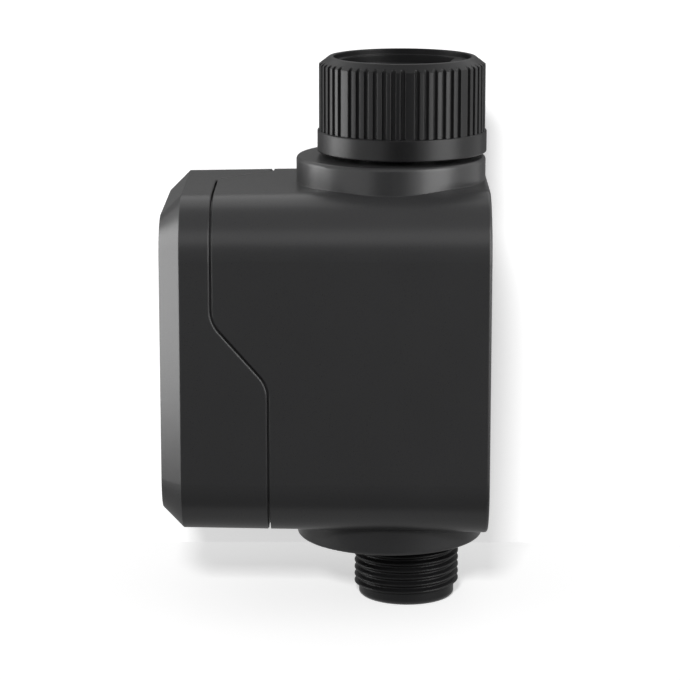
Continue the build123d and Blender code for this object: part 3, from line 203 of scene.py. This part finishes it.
plated_steel = worked_metal(
    "plated_steel", (0.62, 0.63, 0.64), (0.46, 0.47, 0.49), 0.3, 0.0006, (1, 0.2, 1)
)
coat(
    ["partition_screws", "valve_screws", "gear_screws", "holder_screws", "board_screws",
     "idler_pin", "motor_shaft"],
    plated_steel,
)
motor_steel = worked_metal(
    "motor_steel", (0.66, 0.67, 0.68), (0.52, 0.53, 0.55), 0.34, 0.0004, (1, 0.06, 1)
)
coat(["motor_can"], motor_steel)
spring_steel = worked_metal(
    "spring_steel", (0.74, 0.74, 0.72), (0.60, 0.60, 0.58), 0.22, 0.0008, (1, 1, 0.2)
)
coat(["battery_contacts"], spring_steel)
tinned_steel = worked_metal(
    "tinned_steel", (0.70, 0.71, 0.71), (0.58, 0.59, 0.60), 0.28, 0.0009, (1, 1, 1)
)
coat(["radio_shield"], tinned_steel)
turned_brass = worked_metal(
    "turned_brass", (0.74, 0.53, 0.24), (0.60, 0.42, 0.18), 0.26, 0.0004, (0.3, 1, 0.3)
)
coat(["valve_stem", "motor_pinion", "motor_terminals"], turned_brass)

# Small packages: the motor's end cap, the chips and capacitor, and the switch's body, all moulded
# black with a dull matt face.
package_plastic = moulded_plastic(
    "package_plastic", (0.020, 0.020, 0.021), (0.014, 0.014, 0.015), 0.48, 0.00025, 0.00002
)
coat(["motor_cap", "board_chips", "switch_body"], package_plastic)


# Board and the radio's own small board: glass-epoxy with a green mask over copper tracks, whose
# raised runs show through as lighter lines.
def masked_board(name, mask, track, pitch):
    """Solder mask with square runs of track that stand proud under it."""
    finish = bpy.data.materials.new(name)
    finish.use_nodes = True
    nodes, links = finish.node_tree.nodes, finish.node_tree.links
    shader = nodes["Principled BSDF"]
    shader.inputs["Roughness"].default_value = 0.28
    place = nodes.new("ShaderNodeTexCoord")
    turn = nodes.new("ShaderNodeMapping")
    turn.inputs["Rotation"].default_value = (math.pi / 2, 0, 0)
    runs = nodes.new("ShaderNodeTexBrick")
    runs.inputs["Scale"].default_value = 1 / pitch
    runs.inputs["Mortar Size"].default_value = 0.045
    runs.inputs["Mortar Smooth"].default_value = 0.1
    runs.inputs["Brick Width"].default_value = 2.6
    runs.inputs["Row Height"].default_value = 0.55
    links.new(place.outputs["Object"], turn.inputs["Vector"])
    links.new(turn.outputs["Vector"], runs.inputs["Vector"])
    tone = blend(nodes, links, runs.outputs["Fac"], mask, track)
    links.new(tone, shader.inputs["Base Color"])
    raise_relief(nodes, links, runs.outputs["Fac"], 0.6, 0.00003)
    return finish


board_mask = masked_board("board_mask", (0.012, 0.10, 0.035), (0.03, 0.19, 0.075), 0.003)
coat(["control_board"], board_mask)
radio_mask = masked_board("radio_mask", (0.008, 0.03, 0.09), (0.02, 0.07, 0.17), 0.0016)
coat(["radio_module"], radio_mask)

# Light and its guide: a small white package on the board, and a clear acrylic rod that carries
# its light to the front face.
led_resin = moulded_plastic(
    "led_resin", (0.75, 0.80, 0.70), (0.66, 0.72, 0.60), 0.25, 0.0003, 0.000004
)
coat(["status_led"], led_resin)
guide_acrylic = moulded_plastic(
    "guide_acrylic", (0.86, 0.90, 0.92), (0.80, 0.85, 0.88), 0.12, 0.0006, 0.000003
)
guide_shader = guide_acrylic.node_tree.nodes["Principled BSDF"]
guide_shader.inputs["Transmission Weight"].default_value = 0.8
guide_shader.inputs["IOR"].default_value = 1.49
coat(["light_guide"], guide_acrylic)

# Cells: four finger-sized cells in a shrunk plastic sleeve, with bare steel ends. The sleeve is
# plain dark blue with a pale band near each end, and carries no words.
band_middle, band_half, steel_from = 0.0185, 0.0022, 0.0240
band_color, steel_color = (0.52, 0.53, 0.54), (0.66, 0.66, 0.65)
cell_sleeve = moulded_plastic(
    "cell_sleeve", (0.030, 0.055, 0.16), (0.024, 0.045, 0.13), 0.26, 0.0008, 0.000006
)
cell_nodes, cell_links = cell_sleeve.node_tree.nodes, cell_sleeve.node_tree.links
cell_shader = cell_nodes["Principled BSDF"]
sleeve_tone = cell_shader.inputs["Base Color"].links[0].from_socket
cell_place = cell_nodes["Texture Coordinate"]
cell_axes = cell_nodes.new("ShaderNodeSeparateXYZ")
from_middle = cell_nodes.new("ShaderNodeMath")
from_middle.operation = "ABSOLUTE"
pale_band = cell_nodes.new("ShaderNodeMath")
pale_band.operation = "COMPARE"
pale_band.inputs[1].default_value = band_middle
pale_band.inputs[2].default_value = band_half
steel_end = cell_nodes.new("ShaderNodeMath")
steel_end.operation = "GREATER_THAN"
steel_end.inputs[1].default_value = steel_from
cell_links.new(cell_place.outputs["Object"], cell_axes.inputs["Vector"])
cell_links.new(cell_axes.outputs["X"], from_middle.inputs[0])
cell_links.new(from_middle.outputs[0], pale_band.inputs[0])
cell_links.new(from_middle.outputs[0], steel_end.inputs[0])
banded = blend(cell_nodes, cell_links, pale_band.outputs[0], sleeve_tone, band_color)
ended = blend(cell_nodes, cell_links, steel_end.outputs[0], banded, steel_color)
cell_links.new(ended, cell_shader.inputs["Base Color"])
cell_links.new(steel_end.outputs[0], cell_shader.inputs["Metallic"])
coat(["battery_cells"], cell_sleeve)

# Leads: thin stranded wire in soft red insulation, a pair for the motor and a pair for the cells.
# Each runs from a socket on the board to a terminal.
lead_insulation = moulded_plastic(
    "lead_insulation", (0.34, 0.012, 0.010), (0.27, 0.008, 0.008), 0.4, 0.0006, 0.00001
)
coat(["motor_leads", "battery_leads"], lead_insulation)

# Studio floor: a plain pale sheet of paper under the spout. The camera, mirrors and clear pieces
# see it as white, and it keeps the timer's shadow.
floor_level = -0.1371


def stage_sheet(name, outline, way, finish):
    """A stage sheet: an open outline drawn out along one direction."""
    sheet = bmesh.new()
    corners = [sheet.verts.new(place) for place in outline]
    edges = [sheet.edges.new(pair) for pair in zip(corners, corners[1:])]
    spread = bmesh.ops.extrude_edge_only(sheet, edges=edges)
    moved = [part for part in spread["geom"] if isinstance(part, bmesh.types.BMVert)]
    bmesh.ops.translate(sheet, verts=moved, vec=way)
    mesh = bpy.data.meshes.new(name)
    sheet.to_mesh(mesh)
    sheet.free()
    for face in mesh.polygons:
        face.use_smooth = True
    mesh.materials.append(finish)
    stage = bpy.data.objects.new(name, mesh)
    bpy.context.scene.collection.objects.link(stage)
    return stage


def seen_plainly(nodes, links):
    """One for the rays of the camera, a mirror or clear glass, and nought for the others."""
    rays = nodes.new("ShaderNodeLightPath")
    seen = rays.outputs["Is Camera Ray"]
    for kind in ("Is Glossy Ray", "Is Transmission Ray"):
        either = nodes.new("ShaderNodeMath")
        either.operation = "MAXIMUM"
        links.new(seen, either.inputs[0])
        links.new(rays.outputs[kind], either.inputs[1])
        seen = either.outputs[0]
    return seen


def white_paper(name, glow):
    """Matt white paper that glows a little where the camera, a mirror or clear glass sees it."""
    paper = bpy.data.materials.new(name)
    paper.use_nodes = True
    nodes, links = paper.node_tree.nodes, paper.node_tree.links
    shader = nodes["Principled BSDF"]
    shader.inputs["Base Color"].default_value = (0.80, 0.80, 0.80, 1)
    shader.inputs["Roughness"].default_value = 0.9
    shader.inputs["Specular IOR Level"].default_value = 0
    shader.inputs["Emission Color"].default_value = (1, 1, 1, 1)
    lift = nodes.new("ShaderNodeMath")
    lift.operation = "MULTIPLY"
    lift.inputs[1].default_value = glow
    links.new(seen_plainly(nodes, links), lift.inputs[0])
    links.new(lift.outputs[0], shader.inputs["Emission Strength"])
    return paper


floor_half = 3
floor = stage_sheet(
    "floor",
    [(-floor_half, -floor_half, floor_level), (-floor_half, floor_half, floor_level)],
    (2 * floor_half, 0, 0),
    white_paper("floor_paper", 0.50),
)
floor.visible_diffuse = False

# Back sheet: white paper close behind the case, which takes its soft shadow. Only the camera sees
# it, and only from its front, so it never hides the timer or darkens its far side.
back_place, back_half, back_height = -0.045, 0.4, 0.5
back_paper = white_paper("back_paper", 0.45)
paper_nodes, paper_links = back_paper.node_tree.nodes, back_paper.node_tree.links
side = paper_nodes.new("ShaderNodeNewGeometry")
front_side = paper_nodes.new("ShaderNodeMath")
front_side.operation = "SUBTRACT"
front_side.inputs[0].default_value = 1
shown = paper_nodes.new("ShaderNodeMath")
shown.operation = "MULTIPLY"
clear = paper_nodes.new("ShaderNodeBsdfTransparent")
choice = paper_nodes.new("ShaderNodeMixShader")
back_rays = paper_nodes["Light Path"]
paper_links.new(side.outputs["Backfacing"], front_side.inputs[1])
paper_links.new(front_side.outputs[0], shown.inputs[0])
paper_links.new(back_rays.outputs["Is Camera Ray"], shown.inputs[1])
paper_links.new(shown.outputs[0], choice.inputs["Fac"])
paper_links.new(clear.outputs["BSDF"], choice.inputs[1])
paper_links.new(paper_nodes["Principled BSDF"].outputs["BSDF"], choice.inputs[2])
paper_links.new(choice.outputs["Shader"], paper_nodes["Material Output"].inputs["Surface"])
back_sheet = stage_sheet(
    "back_sheet",
    [(back_place, back_half, floor_level), (back_place, -back_half, floor_level)],
    (0, 0, back_height),
    back_paper,
)


# Cards that only reflections see, which paint the timer's reflections: black felt in front of it
# paints them dark, and grey cards under, behind and above it glow, though they are no lamps, and
# paint dim grey reflections in the dark plastic. The bright highlights come from the strips.
def painted_reflection_card(name, outline, way, glow):
    """A card that shows in reflections alone and glows at a given brightness: a painted
    reflection, as it is no lamp.
    """
    card_face = bpy.data.materials.new(name)
    card_face.use_nodes = True
    shader = card_face.node_tree.nodes["Principled BSDF"]
    shader.inputs["Base Color"].default_value = (0.01, 0.01, 0.01, 1)
    shader.inputs["Roughness"].default_value = 1
    shader.inputs["Specular IOR Level"].default_value = 0
    shader.inputs["Emission Color"].default_value = (1, 1, 1, 1)
    # Painted reflection: the card glows at this strength though it is no lamp, and at nought it
    # paints a dark reflection.
    shader.inputs["Emission Strength"].default_value = glow
    card = stage_sheet(name, outline, way, card_face)
    card.visible_camera = False
    card.visible_diffuse = False
    card.visible_shadow = False
    card.visible_transmission = False


felt_level = floor_level + 0.001
felt_start, felt_side, felt_across = 0.045, -0.22, (0, 0.42, 0)
card_side, card_across = -0.35, (0, 0.7, 0)
painted_reflection_card(
    "black_felt",
    [(felt_start, felt_side, felt_level), (0.55, felt_side, felt_level), (0.62, felt_side, 0.22)],
    felt_across,
    0,
)
painted_reflection_card(
    "under_card",
    [(-0.05, felt_side, felt_level), (felt_start, felt_side, felt_level)],
    felt_across,
    0.35,
)
painted_reflection_card(
    "back_card", [(-0.32, card_side, felt_level), (-0.32, card_side, 0.15)], card_across, 0.2
)
painted_reflection_card(
    "over_card", [(-0.10, card_side, 0.42), (0.42, card_side, 0.42)], card_across, 0.3
)


# Lights: a wide softbox overhead, a strip at each side for the highlights on the rims and the
# bevel, and a small lamp high behind the lens. It casts the soft shadow on the back sheet and
# lifts the near side a little. The other three miss the paper, so that it stays even.
def softbox(name, place, target, width, height, radiance):
    """A rectangular studio light that faces a target, at a given brightness of its face."""
    lamp_data = bpy.data.lights.new(name, "AREA")
    lamp_data.shape = "RECTANGLE"
    lamp_data.size = width
    lamp_data.size_y = height
    lamp_data.energy = radiance * math.pi * width * height
    lamp = bpy.data.objects.new(name, lamp_data)
    aim = Vector(target) - Vector(place)
    facing = aim.to_track_quat("-Z", "Y").to_matrix().to_4x4()
    lamp.matrix_world = Matrix.Translation(place) @ facing
    lamp.visible_camera = False
    bpy.context.scene.collection.objects.link(lamp)
    return lamp


top_light = softbox("top_light", (-0.15, 0.0, 0.75), (0, 0, -0.07), 0.7, 0.6, 2.2)
top_light.visible_glossy = False
left_strip = softbox(
    "left_strip", (-0.012, -0.25, -0.045), (-0.012, 0, -0.045), 0.16, 0.18, 4.9
)
right_strip = softbox("right_strip", (0.24, 0.36, 0.11), (0, 0, 0.11), 0.30, 0.48, 4.0)
shadow_lamp = softbox(
    "shadow_lamp", (1.32, -0.139, 0.635), (0, 0, -0.07), 0.2, 0.2, 130.0
)
shadow_lamp.visible_glossy = False
off_paper = bpy.data.collections.new("lights_miss_paper")
for sheet in (floor, back_sheet):
    off_paper.objects.link(sheet)
for linked in off_paper.collection_objects:
    linked.light_linking.link_state = "EXCLUDE"
for lamp in (top_light, left_strip, right_strip):
    lamp.light_linking.receiver_collection = off_paper

# Room: even white all round. It is full white where the camera, a mirror or clear glass sees it,
# and gives the pieces about a third of that as light.
room_light = 0.35
world = bpy.data.worlds.new("studio")
world.use_nodes = True
sky_nodes, sky_links = world.node_tree.nodes, world.node_tree.links
sky = sky_nodes["Background"]
sky.inputs["Color"].default_value = (1, 1, 1, 1)
sky_level = sky_nodes.new("ShaderNodeMapRange")
sky_level.inputs["To Min"].default_value = room_light
sky_level.inputs["To Max"].default_value = 1.0
sky_links.new(seen_plainly(sky_nodes, sky_links), sky_level.inputs["Value"])
sky_links.new(sky_level.outputs["Result"], sky.inputs["Strength"])
bpy.context.scene.world = world
